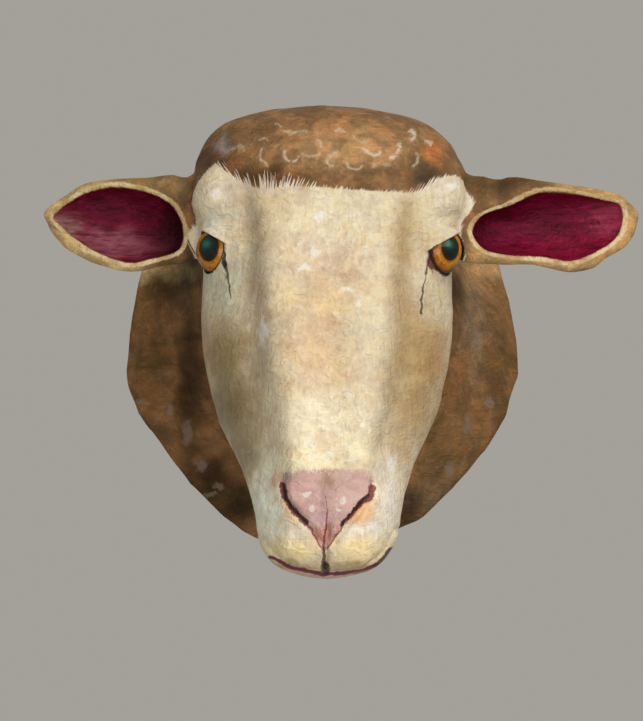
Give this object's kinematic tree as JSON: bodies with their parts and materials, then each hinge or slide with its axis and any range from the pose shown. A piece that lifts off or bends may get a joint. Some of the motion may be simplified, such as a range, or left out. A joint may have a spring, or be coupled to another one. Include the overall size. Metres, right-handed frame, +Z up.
{
  "type": "wall-hung sheep's head",
  "caption": "Life-size papier-mache sheep's head with cupped ears, ball eyes and a flaring neck that ends in a flat collar against the wall.",
  "frame": {"origin": "middle of the collar's flat back, in the plane of the wall", "axes": "+X to the right as seen by someone facing it, +Y into the wall, +Z up; the face looks along -Y"},
  "size_m": [0.3589, 0.2558, 0.275],
  "materials": {
    "papier_mache": "pasted paper under hand-brushed acrylic: cream face, brown wool and neck, crimson ear cups, satin",
    "eye": "amber iris with a dark upright pupil and a black outline, under gloss varnish"
  },
  "bodies": {
    "root": {"sheep_head": "papier_mache", "left_eye": "eye", "right_eye": "eye"}
  },
  "joints": []
}
